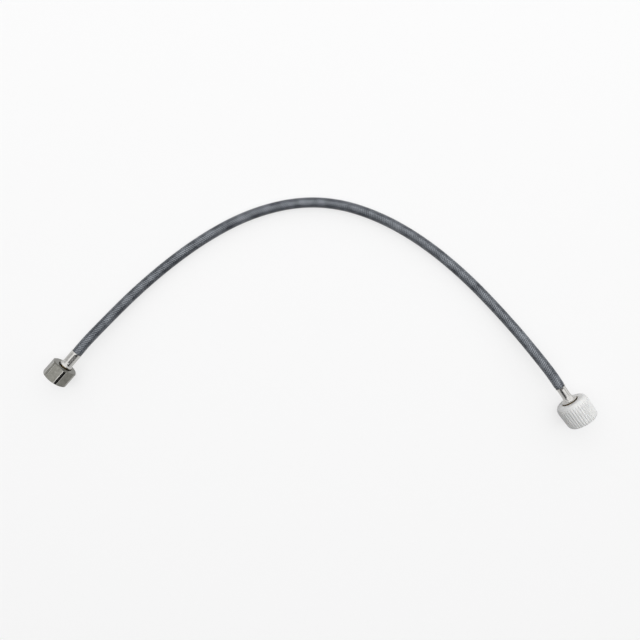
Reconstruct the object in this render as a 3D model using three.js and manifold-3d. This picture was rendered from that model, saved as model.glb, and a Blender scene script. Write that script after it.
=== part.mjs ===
// Braided toilet inlet hose, lying flat: a plated hex nut on the valve end, a ribbed plastic nut
// on the tank end, and between them one length of braided hose crimped onto two barbed stems.
// Millimetres, +Z up, floor at z = 0, origin under the middle of the two fittings.
// Each fitting is drawn on its own axis: y = 0 is the nut's open mouth, +y runs to the hose.

import * as THREE from 'three';
import { mergeVertices } from 'three/addons/utils/BufferGeometryUtils.js';
import Module from 'manifold-3d';

const wasm = await Module();
wasm.setup();

// Where each fitting lies: its mouth's centre on the floor plan, and the way its hose leaves.
const valveMouth = { x: -259.94, y: 10.70, heading: 48.8 };
const tankMouth = { x: 257.02, y: -29.54, heading: 124.8 };

// Clearances: between seated pieces, round a crimped hose, inside a ferrule's flare, past a throat.
const seatGap = 0.3;
const crimpGap = 0.15;
const neckGap = 0.25;
const throatGap = 0.8;

// Hose: an elastomer tube inside a braided cover, cut into short straight steps.
const hoseBore = 5.6;
const linerWall = 1.6;
const layerGap = 0.1;
const coverWall = 0.5;
const coverDiameter = hoseBore + 2 * (linerWall + layerGap + coverWall);
const hoseSides = 12;
const hoseStep = 20;

// Where the hose steps down into a ferrule: a short cone, then a root inside the free run's wall.
const coneLength = 1.6;
const rootLength = 4;
const rootShare = 0.3;

// Barbed tail, which fills the hose's bore; a longer ferrule has room for more barbs.
const stemBore = hoseBore - 2.3;
const tailCore = hoseBore - 1.1;
const barbDiameter = hoseBore - 0.3;
const barbPitch = 2.8;
const barbEdge = 0.3;
const tailTip = 1.2;
const valveBarbs = 3;
const tankBarbs = 2;

// Hex nut, for a half inch valve thread, with a chamfer at both ends.
const hexAcross = 24;
const hexCorner = hexAcross + 2.4;
const hexLength = 16.8;
const hexBore = 19.0;
const hexCountersink = hexBore + 1.0;
const hexHole = 13.8;
const hexWall = 2.6;
const hexChamferFace = hexAcross - 1.0;
const hexChamferDepth = 0.8;

// Flat rubber washer in the hex nut.
const flatWasherDiameter = hexBore - 0.6;
const flatWasherThickness = 2.5;

// Valve ferrule: a straight sleeve with eight jaw flats and a flared rim in the nut's hole.
const ferruleWall = 0.4;
const valveFerruleDiameter = hoseBore + 4.9;
const valveFerruleThroat = hexLength + 16.5;
const valveRimDiameter = hexHole - 1.1;
const valveRimIn = 0.4;
const valveFlareLength = 3.0;
const jawCount = 8;
const jawDepth = 0.14;
const jawLength = 10;
const jawStart = hexLength + 3.4;

// Valve stem.
const valveFlangeDiameter = hexBore - 1.2;
const valveFlangeThickness = 2.0;
const valveSpigotDiameter = 8.0;
const valveSpigotLength = 2.2;
const valveNeckDiameter = valveRimDiameter - 2.3;

// Ribbed plastic nut, for the tank's inlet shank.
const tankNutDiameter = 32.0;
const tankNutLength = 23.3;
const tankNutDraft = 0.8;
const tankNutBore = 22.2;
const tankNutCountersink = tankNutBore + 1.4;
const tankNutHole = 16.2;
const tankNutWall = 3.2;
const ribCount = 36;
const ribDepth = 0.75;
const ribCrest = 1.5;
const grooveFloor = 0.5;
const shoulderAcross = 4.0;
const shoulderAlong = 6.2;
const lipAcross = 1.9;
const lipAlong = 4.6;

// Cone washer in the ribbed nut.
const coneWasherDiameter = tankNutBore - 1.0;
const coneWasherRim = 2.6;
const coneWasherTip = coneWasherDiameter - 8.0;
const coneWasherLength = 6.6;

// Tank ferrule: a round neck that opens like a trumpet towards the nut, and a bell at the hose.
const tankFerruleDiameter = hoseBore + 3.2;
const tankFerruleThroat = tankNutLength + 16.5;
const trumpetRadius = 6.0;
const trumpetTurn = 60;
const trumpetStart = tankNutLength + 5.7;
const trumpetLip = 0.35;
const bellDiameter = coverDiameter;
const bellLength = 1.5;

// Tank stem.
const tankFlangeDiameter = tankNutBore - 1.8;
const tankFlangeThickness = 2.3;
const tankSpigotDiameter = 8.6;
const tankSpigotLength = 5.6;
const tankNeckDiameter = tankNutHole - 3.2;

const turnedSides = 32;
const nutSides = 72;
const rad = THREE.MathUtils.degToRad;

const finish = (color, roughness, metalness) =>
  new THREE.MeshStandardMaterial({ color, roughness, metalness });
const nickel = finish(0x9a978f, 0.32, 1);
const steel = finish(0xc9c8c4, 0.25, 1);
const brass = finish(0xb5964c, 0.35, 1);
const whitePlastic = finish(0xe4e4e1, 0.45, 0);
const rubber = finish(0x1d1d1f, 0.85, 0);
const braid = finish(0x5f646c, 0.7, 0);
const elastomer = finish(0x2a2a2c, 0.7, 0);

// A closed three.js shape as an exact solid, and back again as a named mesh.
function solid(geometry) {
  const bare = geometry.index ? geometry.toNonIndexed() : geometry.clone();
  bare.deleteAttribute('normal');
  bare.deleteAttribute('uv');
  const merged = mergeVertices(bare, 1e-5);
  return new wasm.Manifold(new wasm.Mesh({
    numProp: 3,
    vertProperties: new Float32Array(merged.attributes.position.array),
    triVerts: new Uint32Array(merged.index.array),
  }));
}

function meshOf(name, shape, material) {
  const data = shape.getMesh();
  const geometry = new THREE.BufferGeometry();
  geometry.setAttribute('position', new THREE.BufferAttribute(new Float32Array(data.vertProperties), 3));
  geometry.setIndex(new THREE.BufferAttribute(new Uint32Array(data.triVerts), 1));
  geometry.computeVertexNormals();
  const mesh = new THREE.Mesh(geometry, material);
  mesh.name = name;
  return mesh;
}

// A ring or disc turned about y from a closed outline of [radius, y] pairs.
function turned(outline, sides = turnedSides) {
  const points = [...outline, outline[0]].map(([r, y]) => new THREE.Vector2(r, y));
  const shape = solid(new THREE.LatheGeometry(points, sides));
  return shape.volume() < 0 ? turned([...outline].reverse(), sides) : shape;
}

// Points of an ellipse's arc in the [radius, y] plane, angles in degrees from the +radius way.
function arc(centreR, centreY, across, along, from, to, count) {
  return Array.from({ length: count + 1 }, (_, i) => {
    const angle = rad(from + (to - from) * i / count);
    return [centreR + across * Math.cos(angle), centreY + along * Math.sin(angle)];
  });
}

// A flat outline in the plane across a fitting's axis, pushed along y from one height to another,
// and drawn in or out towards the far end by a growth in size for each millimetre.
function prism(shape, from, to, size = 1, growth = 0) {
  const geometry = new THREE.ExtrudeGeometry(shape, { depth: to - from, steps: 1, bevelEnabled: false });
  geometry.rotateX(-Math.PI / 2).translate(0, from, 0);
  const place = geometry.attributes.position;
  for (let i = 0; i < place.count; i += 1) {
    const scale = size + growth * place.getY(i);
    place.setX(i, place.getX(i) * scale);
    place.setZ(i, place.getZ(i) * scale);
  }
  return solid(geometry);
}

function polygon(radius, sides, turn = 0) {
  return Array.from({ length: sides }, (_, i) => {
    const angle = rad(turn + 360 * i / sides);
    return new THREE.Vector2(radius * Math.cos(angle), radius * Math.sin(angle));
  });
}

// Where the two fittings lie. Each one's own y axis is laid level, at the height it rests at.
const hexHeight = hexAcross / 2;
const tankHeight = tankNutDiameter / 2;

function fitting(mouth, height) {
  const group = new THREE.Group();
  group.position.set(mouth.x, mouth.y, height);
  group.rotation.z = rad(mouth.heading - 90);
  return group;
}

const valveEnd = fitting(valveMouth, hexHeight);
const tankEnd = fitting(tankMouth, tankHeight);

// Heights along each fitting's own axis, from its nut's mouth.
const valveFlangeY = hexLength - hexWall - seatGap - valveFlangeThickness;
const valveRimY = hexLength - valveRimIn;
const valveFerruleMouth = valveFerruleThroat - throatGap;
const tankFlangeY = tankNutLength - tankNutWall - seatGap - tankFlangeThickness;
const tankFerruleMouth = tankFerruleThroat - throatGap;
const trumpetCentre = tankFerruleDiameter / 2 + trumpetRadius;

// Hex nut: flats cut on a turned blank, whose round still shows at the six corners and whose
// ends are chamfered. It is bored from the mouth and holed at the back.
const hexNut = () => {
  const bar = prism(new THREE.Shape(polygon(hexAcross / 2 / Math.cos(rad(30)), 6)), 0, hexLength);
  const blank = turned([
    [0, 0], [hexChamferFace / 2, 0], [hexCorner / 2, hexChamferDepth],
    [hexCorner / 2, hexLength - hexChamferDepth], [hexChamferFace / 2, hexLength],
    [0, hexLength],
  ], nutSides);
  const sink = (hexCountersink - hexBore) / 2;
  const bore = turned([
    [0, -1], [hexCountersink / 2, -1], [hexCountersink / 2, 0], [hexBore / 2, sink],
    [hexBore / 2, hexLength - hexWall], [hexHole / 2, hexLength - hexWall],
    [hexHole / 2, hexLength + 1], [0, hexLength + 1],
  ], nutSides);
  return bar.intersect(blank).subtract(bore);
};

// Ribbed nut: straight ribs on a body that draws in a little towards its mouth, with a rounded
// shoulder, where the ribs run out, and an eased lip.
const tankNut = () => {
  const crest = tankNutDiameter / 2;
  const floor = crest - ribDepth;
  const pitch = 360 / ribCount;
  const halfCrest = THREE.MathUtils.radToDeg(Math.asin(ribCrest / tankNutDiameter));
  const halfFloor = THREE.MathUtils.radToDeg(Math.asin(grooveFloor / 2 / floor));
  const outline = [];
  for (let i = 0; i < ribCount; i += 1) {
    for (const [radius, turn] of [
      [crest, -halfCrest], [crest, halfCrest],
      [floor, pitch / 2 - halfFloor], [floor, pitch / 2 + halfFloor],
    ]) {
      const angle = rad(90 + i * pitch + turn);
      outline.push(new THREE.Vector2(radius * Math.cos(angle), radius * Math.sin(angle)));
    }
  }
  const shoulderY = tankNutLength - shoulderAlong;
  const mouth = 1 - tankNutDraft / crest;
  const growth = (1 - mouth) / shoulderY;
  const ribs = prism(new THREE.Shape(outline), 0, tankNutLength, mouth, growth);
  const skin = crest / Math.cos(Math.PI / nutSides) + 0.02;
  const lip = skin * (mouth + growth * lipAlong) - lipAcross;
  const envelope = turned([
    [0, 0], [lip, 0],
    ...arc(lip, lipAlong, lipAcross, lipAlong, -70, 0, 2),
    ...arc(skin - shoulderAcross, shoulderY, shoulderAcross, shoulderAlong, 0, 90, 6),
    [0, tankNutLength],
  ], nutSides);
  const sink = (tankNutCountersink - tankNutBore) / 2;
  const seat = tankNutLength - tankNutWall;
  const bore = turned([
    [0, -1], [tankNutCountersink / 2, -1], [tankNutCountersink / 2, 0], [tankNutBore / 2, sink],
    [tankNutBore / 2, seat], [tankNutHole / 2, seat],
    [tankNutHole / 2, tankNutLength + 1], [0, tankNutLength + 1],
  ], nutSides);
  return ribs.intersect(envelope).subtract(bore);
};

// Barbs, as saw teeth that point away from the tip, listed towards it.
function barbs(tip, count) {
  const first = tip - tailTip - barbPitch * count;
  const outline = [[tailCore / 2, first]];
  for (let i = 0; i < count; i += 1) {
    const start = first + i * barbPitch;
    outline.push([barbDiameter / 2, start + barbEdge], [tailCore / 2, start + barbPitch]);
  }
  return [...outline, [tailCore / 2, tip]];
}

// A stem: spigot and flange in the nut, neck through its hole, a shoulder, then the barbed tail.
function stem({ flangeY, flange, thickness, spigot, spigotLength, neck, shoulder, tip, teeth }) {
  return turned([
    [stemBore / 2, flangeY - spigotLength], [spigot / 2, flangeY - spigotLength],
    [spigot / 2, flangeY], [flange / 2, flangeY], [flange / 2, flangeY + thickness],
    [neck / 2, flangeY + thickness], ...shoulder, ...barbs(tip, teeth), [stemBore / 2, tip],
  ]);
}

const valveStem = () => stem({
  flangeY: valveFlangeY,
  flange: valveFlangeDiameter,
  thickness: valveFlangeThickness,
  spigot: valveSpigotDiameter,
  spigotLength: valveSpigotLength,
  neck: valveNeckDiameter,
  shoulder: [
    [valveNeckDiameter / 2, valveRimY + valveFlareLength / 3],
    [tailCore / 2, valveRimY + valveFlareLength],
  ],
  tip: valveFerruleMouth - coneLength,
  teeth: valveBarbs,
});

// Under the trumpet the tank stem's shoulder keeps to the ferrule's inside, a neck gap away.
const tankStem = () => {
  const reach = trumpetRadius + ferruleWall + neckGap;
  const turn = THREE.MathUtils.radToDeg(Math.acos((trumpetCentre - tankNeckDiameter / 2) / reach));
  return stem({
    flangeY: tankFlangeY,
    flange: tankFlangeDiameter,
    thickness: tankFlangeThickness,
    spigot: tankSpigotDiameter,
    spigotLength: tankSpigotLength,
    neck: tankNeckDiameter,
    shoulder: [
      ...arc(trumpetCentre, trumpetStart, reach, reach, 180 + turn, 180, 5),
      [tailCore / 2, trumpetStart],
    ],
    tip: tankFerruleMouth - coneLength,
    teeth: tankBarbs,
  });
};

const flatWasher = () => {
  const back = valveFlangeY - seatGap;
  return turned([
    [valveSpigotDiameter / 2 + seatGap, back - flatWasherThickness],
    [flatWasherDiameter / 2, back - flatWasherThickness],
    [flatWasherDiameter / 2, back], [valveSpigotDiameter / 2 + seatGap, back],
  ]);
};

const coneWasher = () => {
  const back = tankFlangeY - seatGap;
  return turned([
    [tankSpigotDiameter / 2 + seatGap, back - coneWasherLength],
    [coneWasherTip / 2, back - coneWasherLength], [coneWasherDiameter / 2, back - coneWasherRim],
    [coneWasherDiameter / 2, back], [tankSpigotDiameter / 2 + seatGap, back],
  ]);
};

// Valve ferrule: its rim sits in the nut's hole, and eight crimping jaws leave eight flats.
const valveFerrule = () => {
  const outer = valveFerruleDiameter / 2;
  const rim = valveRimDiameter / 2;
  const flareY = valveRimY + valveFlareLength;
  const across = rim + ferruleWall - outer;
  const flare = arc(rim + ferruleWall, flareY, across, valveFlareLength * 0.8, 180, 246, 4);
  const flareInside = flare.map(([r, y]) => [r - ferruleWall, y]).reverse();
  const sleeve = turned([
    [outer - ferruleWall, valveFerruleMouth], [outer, valveFerruleMouth],
    ...flare, [rim, valveRimY], [rim - ferruleWall, valveRimY], ...flareInside,
  ]);
  const apothem = outer - jawDepth;
  const die = new THREE.Shape(polygon(outer + 2, 24));
  die.holes.push(new THREE.Path(polygon(apothem / Math.cos(Math.PI / jawCount), jawCount).reverse()));
  return sleeve.subtract(prism(die, jawStart, jawStart + jawLength));
};

// Tank ferrule: a bell at the hose, a swaged neck, and a trumpet flare above the nut's hole.
const tankFerrule = () => {
  const neck = tankFerruleDiameter / 2;
  const bellEnd = tankFerruleMouth - bellLength;
  const flare = (radius) => arc(
    trumpetCentre, trumpetStart, radius, radius, 180, 180 + trumpetTurn, 6);
  const outside = flare(trumpetRadius);
  const inside = flare(trumpetRadius + ferruleWall);
  const [lipR, lipY] = outside.at(-1);
  const [inR, inY] = inside.at(-1);
  const out = trumpetLip * Math.sin(rad(trumpetTurn));
  const down = trumpetLip * Math.cos(rad(trumpetTurn));
  return turned([
    [bellDiameter / 2 - ferruleWall, tankFerruleMouth], [bellDiameter / 2, tankFerruleMouth],
    [neck, bellEnd], ...outside,
    [lipR + out, lipY - down], [inR + out, inY - down],
    ...inside.reverse(), [neck - ferruleWall, bellEnd],
  ]);
};

// The route of the hose between the two ferrules: it leaves each one level, comes down to the
// floor, and crosses in one wide arch.
const route = [
  [-199.0, 78.4, 8.6], [-181.9, 95.6, 6.6], [-163.6, 112.2, 5.4], [-144.2, 128.0, 5.05],
  [-123.5, 143.0, 5.05], [-101.8, 156.6, 5.05], [-79.0, 168.3, 5.05], [-54.9, 177.3, 5.05],
  [-29.6, 183.2, 5.05], [-3.8, 185.0, 5.05], [21.6, 182.2, 5.05], [46.1, 175.2, 5.05],
  [69.5, 165.1, 5.05], [91.9, 152.4, 5.05], [113.2, 137.6, 5.05], [133.3, 121.2, 5.05],
  [152.3, 103.7, 5.05], [170.0, 85.4, 5.6], [186.8, 66.4, 7.6], [202.6, 47.0, 10.6],
];

// A point on a fitting's own axis, seen from the floor plan.
function onAxis(mouth, height, distance) {
  const angle = rad(mouth.heading);
  return new THREE.Vector3(
    mouth.x + distance * Math.cos(angle), mouth.y + distance * Math.sin(angle), height);
}

const straight = 20;
const hosePath = new THREE.CatmullRomCurve3([
  onAxis(valveMouth, hexHeight, valveFerruleThroat),
  onAxis(valveMouth, hexHeight, valveFerruleThroat + straight),
  ...route.map(([x, y, z]) => new THREE.Vector3(x, y, z)),
  onAxis(tankMouth, tankHeight, tankFerruleThroat + straight),
  onAxis(tankMouth, tankHeight, tankFerruleThroat),
], false, 'catmullrom', 0.5);

// One layer of the hose: its free run, and the two crimped ends that reach into the ferrules.
function layer(inner, outer, valveCrimp, tankCrimp) {
  const section = new THREE.Shape(polygon(outer, hoseSides));
  section.holes.push(new THREE.Path(polygon(inner, hoseSides).reverse()));
  const run = solid(new THREE.ExtrudeGeometry(section, {
    steps: Math.round(hosePath.getLength() / hoseStep),
    extrudePath: hosePath,
    bevelEnabled: false,
  }));
  const middle = (inner + outer) / 2;
  const root = rootShare * (outer - inner);
  const crimped = ({ end, throat, tip, inside, outside }) => {
    const sleeve = turned([
      [inside, tip], [outside, tip], [outside, throat - coneLength], [middle + root, throat],
      [middle + root, throat + rootLength], [middle - root, throat + rootLength],
      [middle - root, throat], [inside, throat - coneLength],
    ], hoseSides);
    end.updateMatrixWorld(true);
    return sleeve.transform(end.matrixWorld.toArray());
  };
  return run.add(crimped(valveCrimp)).add(crimped(tankCrimp));
}

// How the two layers share the room between the stem's barbs and the ferrule.
function crimp(end, throat, tip, ferruleInside) {
  const bore = hoseBore / 2;
  const outside = ferruleInside - crimpGap;
  const split = bore + (outside - bore) * 0.52;
  return {
    liner: { end, throat, tip, inside: bore, outside: split - layerGap / 2 },
    cover: { end, throat, tip, inside: split + layerGap / 2, outside },
  };
}

const valveCrimp = crimp(
  valveEnd, valveFerruleThroat, valveRimY + valveFlareLength + neckGap + 1,
  valveFerruleDiameter / 2 - jawDepth - ferruleWall);
const tankCrimp = crimp(
  tankEnd, tankFerruleThroat, trumpetStart + neckGap + 1, tankFerruleDiameter / 2 - ferruleWall);
const linerOuter = hoseBore / 2 + linerWall;

const hose = new THREE.Group();
hose.add(
  meshOf('inner_tube', layer(hoseBore / 2, linerOuter, valveCrimp.liner, tankCrimp.liner), elastomer),
  meshOf('braided_cover',
    layer(linerOuter + layerGap, coverDiameter / 2, valveCrimp.cover, tankCrimp.cover), braid),
);

valveEnd.add(
  meshOf('valve_stem', valveStem(), brass),
  meshOf('valve_ferrule', valveFerrule(), steel),
  meshOf('valve_washer', flatWasher(), rubber),
  meshOf('hex_nut', hexNut(), nickel),
);
tankEnd.add(
  meshOf('tank_stem', tankStem(), brass),
  meshOf('tank_ferrule', tankFerrule(), steel),
  meshOf('tank_washer', coneWasher(), rubber),
  meshOf('tank_nut', tankNut(), whitePlastic),
);

const inletHose = new THREE.Group();
inletHose.add(hose, valveEnd, tankEnd);

export default inletHose;
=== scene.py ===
import math
from bisect import bisect_right

import bmesh
import bpy
from mathutils import Matrix, Vector


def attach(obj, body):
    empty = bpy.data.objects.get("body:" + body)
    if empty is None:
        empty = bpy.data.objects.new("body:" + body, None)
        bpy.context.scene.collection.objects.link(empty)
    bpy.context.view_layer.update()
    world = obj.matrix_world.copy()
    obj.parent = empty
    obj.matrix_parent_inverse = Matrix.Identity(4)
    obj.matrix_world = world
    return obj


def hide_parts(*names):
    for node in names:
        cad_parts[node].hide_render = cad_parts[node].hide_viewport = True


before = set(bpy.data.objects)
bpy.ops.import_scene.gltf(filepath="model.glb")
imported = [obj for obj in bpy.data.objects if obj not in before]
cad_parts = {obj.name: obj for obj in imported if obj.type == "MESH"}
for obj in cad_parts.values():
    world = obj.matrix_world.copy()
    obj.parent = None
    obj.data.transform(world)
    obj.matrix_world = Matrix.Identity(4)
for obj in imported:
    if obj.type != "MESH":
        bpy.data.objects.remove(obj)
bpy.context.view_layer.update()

scene = bpy.context.scene
scene.view_settings.view_transform = "Standard"
mm = 0.001

# Camera. It looks straight down on the hose from a little over half a metre, so both nuts are
# seen from their backs and the arch of the hose lies along the top of the picture.
camera = bpy.data.objects.new("camera", bpy.data.cameras.new("camera"))
camera.location = (0.0006, 0.0685, 0.590)
camera.data.sensor_width = 36
camera.data.lens = 36 * 590 / 640
scene.collection.objects.link(camera)
scene.camera = camera

# Inner tube. A smooth elastomer tube that carries the water, one length from barb to barb. It
# leaves each ferrule in line with it, comes down to the floor and crosses in one wide arch.


def fitting_place(mouth, heading):
    """Where a fitting lies: x is up, y to the right, z from its open mouth towards the hose."""
    along = Vector((math.cos(heading), math.sin(heading), 0))
    side = Vector((math.sin(heading), -math.cos(heading), 0))
    turn = Matrix((Vector((0, 0, 1)), side, along)).transposed()
    return Matrix.Translation(mouth) @ turn.to_4x4()


valve_end = fitting_place(Vector((-0.25994, 0.01070, 0.012)), math.radians(48.8))
tank_end = fitting_place(Vector((0.25702, -0.02954, 0.016)), math.radians(124.8))
valve_throat = 33.3 * mm
tank_throat = 39.8 * mm
hidden_run = 7.5 * mm
hose_route = [
    (-0.1990, 0.0784, 0.0086), (-0.1819, 0.0956, 0.0066), (-0.1636, 0.1122, 0.0054),
    (-0.1442, 0.1280, 0.00505), (-0.1235, 0.1430, 0.00505), (-0.1018, 0.1566, 0.00505),
    (-0.0790, 0.1683, 0.00505), (-0.0549, 0.1773, 0.00505), (-0.0296, 0.1832, 0.00505),
    (-0.0038, 0.1850, 0.00505), (0.0216, 0.1822, 0.00505), (0.0461, 0.1752, 0.00505),
    (0.0695, 0.1651, 0.00505), (0.0919, 0.1524, 0.00505), (0.1132, 0.1376, 0.00505),
    (0.1333, 0.1212, 0.00505), (0.1523, 0.1037, 0.00505), (0.1700, 0.0854, 0.0056),
    (0.1868, 0.0664, 0.0076), (0.2026, 0.0470, 0.0106),
]


def on_axis(place, distance):
    return place @ Vector((0, 0, distance))


def smooth_line(points, per_span):
    """An even curve through the points, each end led by the mirror of its second point."""
    led = [2 * points[0] - points[1], *points, 2 * points[-1] - points[-2]]
    line = []
    for a, b, c, d in zip(led, led[1:], led[2:], led[3:]):
        for i in range(per_span):
            t = i / per_span
            line.append(0.5 * (
                2 * b + (c - a) * t + (2 * a - 5 * b + 4 * c - d) * t ** 2
                + (3 * b - a - 3 * c + d) * t ** 3))
    return [*line, points[-1]]


hose_line = smooth_line([
    on_axis(valve_end, valve_throat),
    on_axis(valve_end, valve_throat + 20 * mm),
    *[Vector(point) for point in hose_route],
    on_axis(tank_end, tank_throat + 20 * mm),
    on_axis(tank_end, tank_throat),
], 28)
hose_line = [on_axis(valve_end, valve_throat - hidden_run), *hose_line,
             on_axis(tank_end, tank_throat - hidden_run)]
hose_along = [0.0]
for near, far in zip(hose_line, hose_line[1:]):
    hose_along.append(hose_along[-1] + (far - near).length)
hose_length = hose_along[-1]

# Frames along the line, carried from one point to the next without twist.
hose_ups = []
hose_sides = []
carried = Vector((0, 0, 1))
for i, point in enumerate(hose_line):
    ahead = hose_line[min(i + 1, len(hose_line) - 1)] - hose_line[max(i - 1, 0)]
    ahead.normalize()
    carried = (carried - ahead * carried.dot(ahead)).normalized()
    hose_ups.append(carried.copy())
    hose_sides.append(ahead.cross(carried))


def eased(value):
    value = min(max(value, 0), 1)
    return value * value * (3 - 2 * value)


def hose_share(along):
    """How much of its full radius the hose has there: it narrows into both crimps."""
    at_valve = 0.912 + 0.088 * eased((along - hidden_run - 0.2 * mm) / (2.4 * mm))
    at_tank = 0.770 + 0.230 * eased((hose_length - hidden_run + 0.6 * mm - along) / (3.0 * mm))
    return at_valve if along < hose_length / 2 else at_tank


def lay_along_hose(bm):
    """Lays a straight piece, drawn about z from 0, along the hose's line."""
    for vert in bm.verts:
        along = min(max(vert.co.z, 0), hose_length)
        i = min(bisect_right(hose_along, along) - 1, len(hose_line) - 2)
        part = (along - hose_along[i]) / (hose_along[i + 1] - hose_along[i])
        share = hose_share(along)
        vert.co = (
            hose_line[i].lerp(hose_line[i + 1], part)
            + hose_ups[i].lerp(hose_ups[i + 1], part) * vert.co.x * share
            + hose_sides[i].lerp(hose_sides[i + 1], part) * vert.co.y * share)


def piece_from(bm, name, body, node_name, material, crease=35):
    """A finished mesh as a piece of the part, smooth but for its creases."""
    mesh = bpy.data.meshes.new(name)
    bm.to_mesh(mesh)
    bm.free()
    mesh.shade_smooth()
    mesh.set_sharp_from_angle(angle=math.radians(crease))
    mesh.materials.append(material)
    piece = bpy.data.objects.new(name, mesh)
    scene.collection.objects.link(piece)
    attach(piece, body)
    if node_name:
        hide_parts(node_name)
    return piece


def add_node(tree, kind, sockets=(), **settings):
    """A shader node with its settings, and its sockets set or linked by name."""
    made = tree.nodes.new(kind)
    for key, value in settings.items():
        setattr(made, key, value)
    for key, value in dict(sockets).items():
        if isinstance(value, bpy.types.NodeSocket):
            tree.links.new(value, made.inputs[key])
        else:
            made.inputs[key].default_value = value
    return made


def ramp(tree, factor, low, high, start=0.0, end=1.0):
    """A blend from one colour, or one grey level, to another as the factor rises."""
    made = add_node(tree, "ShaderNodeValToRGB", {"Fac": factor})
    for stop, value, place in zip(made.color_ramp.elements, (low, high), (start, end)):
        stop.position = place
        stop.color = (*(value if isinstance(value, tuple) else (value,) * 3), 1)
    return made.outputs["Color"]


def new_finish(name):
    material = bpy.data.materials.new(name)
    material.use_nodes = True
    tree = material.node_tree
    shader = tree.nodes["Principled BSDF"]
    place = add_node(tree, "ShaderNodeTexCoord").outputs
    return material, tree, shader, place


elastomer, tree, shader, place = new_finish("elastomer")
grain = add_node(tree, "ShaderNodeTexNoise", {
    "Vector": place["Object"], "Scale": 2600, "Detail": 3}).outputs["Fac"]
tree.links.new(ramp(tree, grain, (0.020, 0.020, 0.023), (0.040, 0.040, 0.045)),
               shader.inputs["Base Color"])
shader.inputs["Roughness"].default_value = 0.62
tree.links.new(add_node(tree, "ShaderNodeBump", {
    "Height": grain, "Strength": 0.3, "Distance": 0.02 * mm}).outputs["Normal"],
    shader.inputs["Normal"])

tube_radius = 4.38 * mm
bm = bmesh.new()
bmesh.ops.create_circle(bm, segments=20, radius=tube_radius, cap_ends=False)
steps = 420
for i in range(steps):
    ring = [edge for edge in bm.edges if edge.is_wire or edge.is_boundary]
    ring = [edge for edge in ring if edge.verts[0].co.z > (i - 0.5) * hose_length / steps]
    grown = bmesh.ops.extrude_edge_only(bm, edges=ring)["geom"]
    bmesh.ops.translate(bm, vec=(0, 0, hose_length / steps),
                        verts=[g for g in grown if isinstance(g, bmesh.types.BMVert)])
lay_along_hose(bm)
bmesh.ops.holes_fill(bm, edges=[edge for edge in bm.edges if edge.is_boundary])
bmesh.ops.recalc_face_normals(bm, faces=bm.faces)
inner_tube = piece_from(bm, "inner_tube_wall", "hose", "inner_tube", elastomer)

# Braided cover. Eight flat strands each way are plaited over the tube, over two and under two, at
# sixty degrees to its line. Each is a ribbon of fine wires, pale grey one way and dark the other.
strand_count = 8
braid_pitch = 16 * mm
strand_gap = braid_pitch / strand_count
strand_width = 0.74
strand_thickness = 0.16 * mm
strand_wave = 0.18 * mm
braid_radius = 4.74 * mm
rows_per_turn = 48

braid, tree, shader, place = new_finish("braid")
wires = add_node(tree, "ShaderNodeTexWave", {
    "Vector": place["UV"], "Scale": 6 * math.tau / 20, "Distortion": 0.0},
    wave_type="BANDS", bands_direction="X").outputs["Fac"]
tone = add_node(tree, "ShaderNodeTexNoise", {
    "Vector": place["Object"], "Scale": 85, "Detail": 4, "Roughness": 0.6}).outputs["Fac"]
along_strand = add_node(tree, "ShaderNodeSeparateXYZ", {"Vector": place["UV"]}).outputs["Y"]
right_hand = add_node(tree, "ShaderNodeMath", {0: along_strand, 1: 0.0},
                      operation="GREATER_THAN").outputs[0]
tone = add_node(tree, "ShaderNodeMath", {0: right_hand, 1: 0.30, 2: tone},
                operation="MULTIPLY_ADD").outputs[0]
tree.links.new(ramp(tree, tone, (0.028, 0.034, 0.046), (0.290, 0.313, 0.345), 0.36, 0.94),
               shader.inputs["Base Color"])
shader.inputs["Specular IOR Level"].default_value = 0.5
scuff = add_node(tree, "ShaderNodeTexNoise", {
    "Vector": place["Object"], "Scale": 900, "Detail": 2}).outputs["Fac"]
tree.links.new(ramp(tree, scuff, 0.26, 0.42), shader.inputs["Roughness"])
tree.links.new(add_node(tree, "ShaderNodeBump", {
    "Height": wires, "Strength": 0.6, "Distance": 0.03 * mm}).outputs["Normal"],
    shader.inputs["Normal"])


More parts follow.
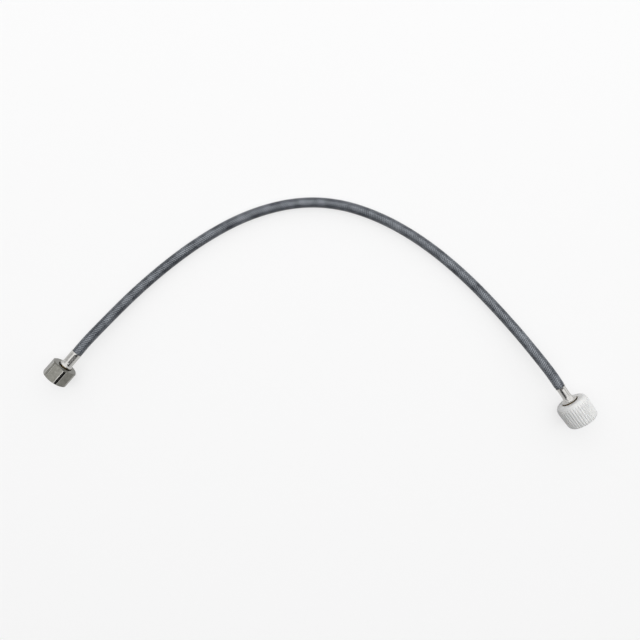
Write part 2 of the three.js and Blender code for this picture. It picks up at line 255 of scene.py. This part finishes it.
def plaited_strands(name, hand, node_name):
    """One hand of the braid: right-hand strands for 1, left-hand ones for -1."""
    bm = bmesh.new()
    half = strand_width / 2 * strand_gap
    section = bmesh.ops.create_circle(bm, segments=4, radius=math.sqrt(2))["verts"]
    bmesh.ops.rotate(bm, verts=section, cent=(0, 0, 0),
                     matrix=Matrix.Rotation(math.radians(45), 3, "Z"))
    bmesh.ops.scale(bm, verts=section, vec=(strand_thickness / 2, half, 1))
    bmesh.ops.rotate(bm, verts=section, cent=(0, 0, 0),
                     matrix=Matrix.Rotation(math.radians(90), 3, "X"))
    start = braid_pitch / 96
    bmesh.ops.translate(bm, verts=section, vec=(braid_radius, 0, start))
    rows = int((hose_length - start) / braid_pitch * rows_per_turn)
    bmesh.ops.spin(bm, geom=bm.verts[:] + bm.edges[:], cent=(0, 0, 0), axis=(0, 0, 1),
                   dvec=(0, 0, braid_pitch / rows_per_turn),
                   angle=hand * math.tau * rows / rows_per_turn, steps=rows)
    bmesh.ops.holes_fill(bm, edges=[edge for edge in bm.edges if edge.is_boundary])
    bmesh.ops.recalc_face_normals(bm, faces=bm.faces)
    bmesh.ops.spin(bm, geom=bm.verts[:] + bm.edges[:] + bm.faces[:], cent=(0, 0, 0),
                   axis=(0, 0, 1), angle=math.tau * (strand_count - 1) / strand_count,
                   steps=strand_count - 1, use_duplicate=True)
    bm.verts.index_update()
    laid = {}
    for vert in bm.verts:
        turn = math.atan2(vert.co.y, vert.co.x) / math.tau * strand_count
        climb = hand * vert.co.z / strand_gap
        across = turn - climb
        strand = round(across)
        crossing = turn + climb
        height = 1.6 * math.cos(math.tau * (crossing + strand - 0.5) / 4)
        height = hand * strand_wave * min(max(height, -1), 1)
        vert.co.xy *= 1 + height / math.hypot(vert.co.x, vert.co.y)
        laid[vert.index] = (0.5 + (across - strand) / strand_width, hand * vert.co.z / strand_gap)
    uv = bm.loops.layers.uv.new("along_strand")
    for face in bm.faces:
        for loop in face.loops:
            loop[uv].uv = laid[loop.vert.index]
    lay_along_hose(bm)
    return piece_from(bm, name, "hose", node_name, braid, 180)


right_hand_strands = plaited_strands("right_hand_strands", 1, "braided_cover")
left_hand_strands = plaited_strands("left_hand_strands", -1, "braided_cover")

# Valve stem. Turned from brass bar: a spigot that holds the washer, a flange that the nut pulls
# on, a neck through the nut's hole and a barbed tail, which the hose is crimped onto.


def arc(centre_r, centre_y, across, along, start, stop, count):
    """Points of an ellipse's arc as (radius, distance, rounding)."""
    points = []
    for i in range(count + 1):
        angle = math.radians(start + (stop - start) * i / count)
        points.append((centre_r + across * math.cos(angle),
                       centre_y + along * math.sin(angle), 0))
    return points


def turned(outline, steps=96):
    """A ring turned from an outline of (radius, distance from the mouth, rounding) in mm."""
    bm = bmesh.new()
    corners = [bm.verts.new((r * mm, 0, y * mm)) for r, y, _ in outline]
    for near, far in zip(corners, corners[1:] + corners[:1]):
        bm.edges.new((near, far))
    for rounding in sorted({point[2] for point in outline} - {0}):
        bmesh.ops.bevel(
            bm, geom=[c for c, point in zip(corners, outline) if point[2] == rounding and c.is_valid],
            offset=rounding * mm, offset_type="OFFSET", segments=3, profile=0.5,
            affect="VERTICES", material=-1, clamp_overlap=True)
    bmesh.ops.spin(bm, geom=bm.verts[:] + bm.edges[:], cent=(0, 0, 0), axis=(0, 0, 1),
                   angle=math.tau, steps=steps, use_merge=True)
    bmesh.ops.recalc_face_normals(bm, faces=bm.faces)
    return bm


def barbs(first, count):
    teeth = [(2.25, first, 0)]
    for i in range(count):
        teeth += [(2.65, first + 2.8 * i + 0.3, 0), (2.25, first + 2.8 * i + 2.8, 0)]
    return teeth


brass, tree, shader, place = new_finish("brass")
lathe_lines = add_node(tree, "ShaderNodeTexNoise", {
    "Vector": place["Object"], "Scale": 1500, "Detail": 2}).outputs["Fac"]
stain = add_node(tree, "ShaderNodeTexNoise", {
    "Vector": place["Object"], "Scale": 210, "Detail": 4}).outputs["Fac"]
tree.links.new(ramp(tree, stain, (0.42, 0.29, 0.11), (0.56, 0.42, 0.17), 0.3, 0.7),
               shader.inputs["Base Color"])
shader.inputs["Metallic"].default_value = 1
tree.links.new(ramp(tree, stain, 0.42, 0.26), shader.inputs["Roughness"])
tree.links.new(add_node(tree, "ShaderNodeBump", {
    "Height": lathe_lines, "Strength": 0.15, "Distance": 0.02 * mm}).outputs["Normal"],
    shader.inputs["Normal"])

bm = turned([
    (1.65, 9.7, 0.15), (4.0, 9.7, 0.3), (4.0, 11.9, 0), (8.9, 11.9, 0.25), (8.9, 13.9, 0.25),
    (4.6, 13.9, 0), (4.6, 17.4, 0.1), (2.25, 19.4, 0), *barbs(21.3, 3)[1:], (2.25, 30.9, 0.1),
    (1.65, 30.9, 0.1),
])
bm.transform(valve_end)
piece_from(bm, "valve_stem_turned", "hose", "valve_stem", brass)

# Valve ferrule. A bright steel sleeve pressed over the hose by eight jaws, which leave eight
# flats. Its rim flares in front of the nut's hole and keeps the nut from sliding over the hose.
steel, tree, shader, place = new_finish("bright_steel")
rub = add_node(tree, "ShaderNodeTexNoise", {
    "Vector": place["Object"], "Scale": 420, "Detail": 5, "Roughness": 0.65}).outputs["Fac"]
tree.links.new(ramp(tree, rub, (0.44, 0.435, 0.42), (0.54, 0.53, 0.51), 0.3, 0.7),
               shader.inputs["Base Color"])
shader.inputs["Metallic"].default_value = 1
tree.links.new(ramp(tree, rub, 0.20, 0.34), shader.inputs["Roughness"])
dents = add_node(tree, "ShaderNodeTexNoise", {
    "Vector": place["Object"], "Scale": 260, "Detail": 2}).outputs["Fac"]
tree.links.new(add_node(tree, "ShaderNodeBump", {
    "Height": dents, "Strength": 0.35, "Distance": 0.06 * mm}).outputs["Normal"],
    shader.inputs["Normal"])

sleeve_rows = [21.3 + 0.4 * i for i in range(31)]
bm = turned([
    (4.85, 34.3, 0.1), (5.25, 34.3, 0.15),
    *[(5.25, y, 0) for y in reversed(sleeve_rows)],
    *arc(6.75, 20.7, 1.5, 2.4, 180, 246, 8),
    (6.35, 17.7, 0.15), (5.95, 17.7, 0.1),
    *arc(6.35, 20.7, 1.5, 2.4, 246, 180, 8),
    *[(4.85, y, 0) for y in sleeve_rows],
], 128)
jaw_depth = 0.16 * mm
for vert in bm.verts:
    radius = math.hypot(vert.co.x, vert.co.y)
    turn = math.degrees(math.atan2(vert.co.y, vert.co.x)) % 45
    flat = (5.25 * mm - jaw_depth) / math.cos(math.radians(turn - 22.5))
    press = eased((vert.co.z - 21.6 * mm) / (0.7 * mm)) * eased((32.6 * mm - vert.co.z) / (0.7 * mm))
    vert.co.xy *= 1 - max(5.25 * mm - flat, 0) * press / radius
bm.transform(valve_end)
piece_from(bm, "valve_ferrule_crimped", "hose", "valve_ferrule", steel, 30)

# Flat washer. A black rubber ring stamped from sheet, pushed over the stem's spigot.
washer_rubber, tree, shader, place = new_finish("washer_rubber")
grain = add_node(tree, "ShaderNodeTexNoise", {
    "Vector": place["Object"], "Scale": 1900, "Detail": 4}).outputs["Fac"]
tree.links.new(ramp(tree, grain, (0.012, 0.012, 0.014), (0.026, 0.026, 0.028)),
               shader.inputs["Base Color"])
tree.links.new(ramp(tree, grain, 0.55, 0.8), shader.inputs["Roughness"])
tree.links.new(add_node(tree, "ShaderNodeBump", {
    "Height": grain, "Strength": 0.4, "Distance": 0.03 * mm}).outputs["Normal"],
    shader.inputs["Normal"])

bm = turned([(4.3, 9.1, 0.25), (9.2, 9.1, 0.25), (9.2, 11.6, 0.2), (4.3, 11.6, 0.2)])
bm.transform(valve_end)
piece_from(bm, "flat_washer_ring", "hose", "valve_washer", washer_rubber)

# Hex nut. Nickel plated brass, cut from hexagon bar: the round of the turned blank still shows at
# its six corners, with a narrow facet on each side of it, painted paler as a glint. It turns freely
# on the stem, and a half inch pipe thread runs down its bore.


def add_thread(bm, major, minor, pitch, start, stop):
    """A helical ridge inside a bore, in mm, that fades out at both ends."""
    ridge = [bm.verts.new((r * mm, 0, (start + y) * mm)) for r, y in (
        (major + 0.1, 0.46 * pitch), (minor, 0.10 * pitch),
        (minor, -0.10 * pitch), (major + 0.1, -0.46 * pitch))]
    edges = [bm.edges.new((a, b)) for a, b in zip(ridge, ridge[1:] + ridge[:1])]
    turns = (stop - start) / pitch
    steps = int(turns * 48)
    known = set(bm.verts) - set(ridge)
    bmesh.ops.spin(bm, geom=ridge + edges, cent=(0, 0, 0), axis=(0, 0, 1),
                   dvec=(0, 0, (stop - start) * mm / steps), angle=math.tau * turns, steps=steps)
    made = [vert for vert in bm.verts if vert not in known]
    bmesh.ops.holes_fill(bm, edges=[edge for edge in bm.edges if edge.is_boundary])
    for vert in made:
        radius = math.hypot(vert.co.x, vert.co.y)
        inside = min(vert.co.z / mm - start, stop - vert.co.z / mm) / (0.6 * pitch) + 0.5
        deep = (major - minor) * (1 - eased(inside))
        if radius < (major + minor) / 2 * mm:
            vert.co.xy *= (radius + deep * mm) / radius


nickel, tree, shader, place = new_finish("nickel_plate")
along_nut = add_node(tree, "ShaderNodeMapping", {
    "Vector": place["Object"], "Rotation": (0, 0, -math.radians(48.8)),
    "Scale": (90, 2200, 2200)}).outputs["Vector"]
drawn = add_node(tree, "ShaderNodeTexNoise", {
    "Vector": along_nut, "Scale": 1, "Detail": 3}).outputs["Fac"]
cloud = add_node(tree, "ShaderNodeTexNoise", {
    "Vector": place["Object"], "Scale": 420, "Detail": 5, "Roughness": 0.6}).outputs["Fac"]
plating = ramp(tree, cloud, (0.135, 0.133, 0.117), (0.225, 0.222, 0.202), 0.3, 0.7)
# Painted glint: the narrow edge facets get a much paler base colour, which stands in for the
# highlight along those edges.
glint_paint = add_node(tree, "ShaderNodeAttribute", attribute_name="glint_paint").outputs["Fac"]
tree.links.new(add_node(tree, "ShaderNodeMixRGB", {
    "Fac": glint_paint, "Color1": plating, "Color2": (0.52, 0.51, 0.48, 1)}).outputs["Color"],
    shader.inputs["Base Color"])
shader.inputs["Metallic"].default_value = 1
tree.links.new(ramp(tree, cloud, 0.17, 0.28), shader.inputs["Roughness"])
tree.links.new(add_node(tree, "ShaderNodeBump", {
    "Height": drawn, "Strength": 0.25, "Distance": 0.03 * mm}).outputs["Normal"],
    shader.inputs["Normal"])

bm = turned([
    (10.9, 0, 0.1), (11.5, 0, 0), (13.0, 0.8, 0), (13.0, 16.0, 0), (11.5, 16.8, 0),
    (6.9, 16.8, 0.15), (6.9, 14.2, 0.1), (10.4, 14.2, 0), (10.4, 0.5, 0),
], 144)
# Narrow facets lean from each flat towards its corners; their faces carry the painted glint.
glint_facet_lean = 14.5
flats = [(60 * side, 12 * mm) for side in range(6)]
glint_facets = [(60 * side + lean, 12.81 * mm)
                for side in range(6) for lean in (-glint_facet_lean, glint_facet_lean)]
for facing, depth in flats + glint_facets:
    outward = Vector((math.cos(math.radians(facing)), math.sin(math.radians(facing)), 0))
    cut = bmesh.ops.bisect_plane(
        bm, geom=bm.verts[:] + bm.edges[:] + bm.faces[:], dist=1e-7,
        plane_co=outward * depth, plane_no=outward, clear_outer=True)["geom_cut"]
    bmesh.ops.holes_fill(bm, edges=[g for g in cut if isinstance(g, bmesh.types.BMEdge)])
bmesh.ops.recalc_face_normals(bm, faces=bm.faces)
bm.normal_update()
# Marks the narrow edge facets beside the corners for the painted glint.
glint_paint_layer = bm.faces.layers.float.new("glint_paint")
for face in bm.faces:
    facing = math.degrees(math.atan2(face.normal.y, face.normal.x)) % 60
    leans = abs(abs((facing + 30) % 60 - 30) - glint_facet_lean) < 0.5
    if leans and abs(face.normal.z) < 0.01 and face.calc_area() > 2 * mm * mm:
        face[glint_paint_layer] = 1.0
add_thread(bm, 10.4, 9.5, 1.814, 1.2, 13.6)
bm.transform(valve_end)
hex_nut = piece_from(bm, "hex_nut_plated", "valve_coupling", "hex_nut", nickel, 7)
soft_edge = hex_nut.modifiers.new("soft_edge", "BEVEL")
soft_edge.width = 0.14 * mm
soft_edge.segments = 2
soft_edge.limit_method = "ANGLE"
soft_edge.angle_limit = math.radians(18)
soft_edge.harden_normals = True

# Tank stem. Turned brass like the valve's, with a wider flange, a longer spigot through the cone
# washer, and a shoulder that follows the inside of the ferrule's trumpet.
bm = turned([
    (1.65, 11.9, 0.15), (4.3, 11.9, 0.3), (4.3, 17.5, 0), (10.2, 17.5, 0.25), (10.2, 19.8, 0.25),
    (5.7, 19.8, 0), (5.7, 23.9, 0.1), *arc(10.4, 29.0, 6.65, 6.65, 226, 180, 8)[1:],
    (2.25, 29.0, 0), *barbs(30.6, 2)[1:], (2.25, 37.4, 0.1), (1.65, 37.4, 0.1),
])
bm.transform(tank_end)
piece_from(bm, "tank_stem_turned", "hose", "tank_stem", brass)

# Tank ferrule. A round steel sleeve swaged down on the hose, with a small bell at its end and a
# trumpet at the nut, which covers the stem's shoulder.
bm = turned([
    (4.6, 40.0, 0.1), (5.0, 40.0, 0.1), (4.72, 39.2, 0), (4.4, 38.4, 0.4),
    (4.4, 36.0, 0), (4.4, 32.8, 0),
    *arc(10.4, 29.8, 6.0, 6.0, 180, 240, 14),
    (7.70, 24.43, 0.1), (7.50, 24.08, 0.1),
    *arc(10.4, 29.8, 6.4, 6.4, 240, 180, 14),
    (4.0, 32.8, 0), (4.0, 36.0, 0), (4.0, 38.4, 0.3), (4.32, 39.2, 0),
], 128)
bm.transform(tank_end)
piece_from(bm, "tank_ferrule_swaged", "hose", "tank_ferrule", steel, 30)

# Cone washer. Moulded black rubber, whose cone centres itself in the bore of the tank's inlet.
bm = turned([
    (4.6, 10.6, 0.2), (6.6, 10.6, 0.4), (10.6, 14.6, 0.4), (10.6, 17.2, 0.3), (4.6, 17.2, 0.2),
])
bm.transform(tank_end)
piece_from(bm, "cone_washer_ring", "hose", "tank_washer", washer_rubber)

# Ribbed nut. Injection moulded white plastic, tightened by hand: thirty-six straight ribs on a
# body that draws in towards its mouth and rounds over at the shoulder, where the ribs run out.
white_plastic, tree, shader, place = new_finish("white_plastic")
mottle = add_node(tree, "ShaderNodeTexNoise", {
    "Vector": place["Object"], "Scale": 120, "Detail": 4}).outputs["Fac"]
tree.links.new(ramp(tree, mottle, (0.74, 0.745, 0.735), (0.80, 0.80, 0.79), 0.3, 0.7),
               shader.inputs["Base Color"])
skin = add_node(tree, "ShaderNodeTexNoise", {
    "Vector": place["Object"], "Scale": 1800, "Detail": 3}).outputs["Fac"]
tree.links.new(ramp(tree, skin, 0.36, 0.52), shader.inputs["Roughness"])
shader.inputs["Subsurface Weight"].default_value = 0.15
shader.inputs["Subsurface Radius"].default_value = (1.0, 0.9, 0.8)
shader.inputs["Subsurface Scale"].default_value = 0.6 * mm
tree.links.new(add_node(tree, "ShaderNodeBump", {
    "Height": skin, "Strength": 0.12, "Distance": 0.03 * mm}).outputs["Normal"],
    shader.inputs["Normal"])

nut_length = 23.3
lip_end = 4.6
shoulder_start = 17.1
rib_count = 36
rib_depth = 1.0
body_rows = [lip_end + (shoulder_start - lip_end) * i / 10 for i in range(1, 10)]


def body_radius(y):
    return 15.2 + 0.8 * y / shoulder_start


bm = turned([
    (11.8, 0, 0.3), *arc(13.55, lip_end, 1.87, 4.6, -70, 0, 9),
    *[(body_radius(y), y, 0) for y in body_rows],
    *arc(12.0, shoulder_start, 4.0, 6.2, 0, 90, 16),
    (8.1, nut_length, 0.25), (8.1, 20.1, 0.2), (11.9, 20.1, 0), (11.9, 0.8, 0),
], rib_count * 8)
for vert in bm.verts:
    radius = math.hypot(vert.co.x, vert.co.y) / mm
    y = vert.co.z / mm
    if radius < 12.0 or y <= 0.01:
        continue
    turn = math.degrees(math.atan2(vert.co.y, vert.co.x)) % (360 / rib_count)
    wave = 0.5 + 0.5 * math.cos(turn / (360 / rib_count) * math.tau)
    crest = body_radius(min(y, shoulder_start)) - rib_depth * (1 - eased(wave * 1.5))
    vert.co.xy *= min(radius, crest) / radius
add_thread(bm, 11.9, 11.1, 1.814, 1.6, 19.2)
bm.transform(tank_end)
ribbed_nut = piece_from(bm, "ribbed_nut_moulded", "tank_coupling", "tank_nut",
                        white_plastic, 50)

# Floor and light: a pale round floor with a low pale wall. Softboxes stand overhead, behind the arch
# and at both ends, with none in front, so the side of each piece that faces the front is dark.
floor_paint = bpy.data.materials.new("floor_paint")
floor_paint.use_nodes = True
tree = floor_paint.node_tree
shader = tree.nodes["Principled BSDF"]
shader.inputs["Base Color"].default_value = (0.26, 0.26, 0.26, 1)
shader.inputs["Roughness"].default_value = 1
shader.inputs["Specular IOR Level"].default_value = 0
shader.inputs["Emission Color"].default_value = (1, 1, 1, 1)
ray = add_node(tree, "ShaderNodeLightPath").outputs
seen = add_node(tree, "ShaderNodeMath", {0: ray["Is Camera Ray"], 1: ray["Is Glossy Ray"]},
                operation="MAXIMUM").outputs[0]
seen = add_node(tree, "ShaderNodeMath", {0: seen, 1: ray["Is Transmission Ray"]},
                operation="MAXIMUM").outputs[0]
tree.links.new(add_node(tree, "ShaderNodeMath", {0: seen, 1: 0.69},
                        operation="MULTIPLY").outputs[0], shader.inputs["Emission Strength"])
bm = bmesh.new()
bmesh.ops.create_circle(bm, segments=64, radius=4, cap_ends=True)
rim = [edge for edge in bm.edges if edge.is_boundary]
wall = bmesh.ops.extrude_edge_only(bm, edges=rim)["geom"]
bmesh.ops.translate(bm, vec=(0, 0, 1.3),
                    verts=[g for g in wall if isinstance(g, bmesh.types.BMVert)])
mesh = bpy.data.meshes.new("floor")
bm.to_mesh(mesh)
bm.free()
mesh.materials.append(floor_paint)
floor = bpy.data.objects.new("floor", mesh)
scene.collection.objects.link(floor)

world = bpy.data.worlds.new("studio")
world.use_nodes = True
world.node_tree.nodes["Background"].inputs["Color"].default_value = (0.03, 0.03, 0.033, 1)
scene.world = world


def softbox(name, place, aim, size, power):
    light = bpy.data.lights.new(name, "AREA")
    light.shape = "RECTANGLE"
    light.size, light.size_y = size
    light.energy = power
    lamp = bpy.data.objects.new(name, light)
    lamp.location = place
    lamp.rotation_euler = (Vector(aim) - Vector(place)).to_track_quat("-Z", "Y").to_euler()
    scene.collection.objects.link(lamp)


middle = (0, 0.08, 0)
softbox("overhead_softbox", (0.0, 0.20, 1.5), (0, 0.20, 0), (3.0, 1.9), 27)
softbox("arch_side_softbox", (0.0, 1.50, 0.85), middle, (3.4, 1.3), 20)
softbox("left_softbox", (-1.75, 0.45, 0.75), middle, (2.0, 1.2), 5)
softbox("right_softbox", (1.75, 0.45, 0.75), middle, (2.0, 1.2), 8)
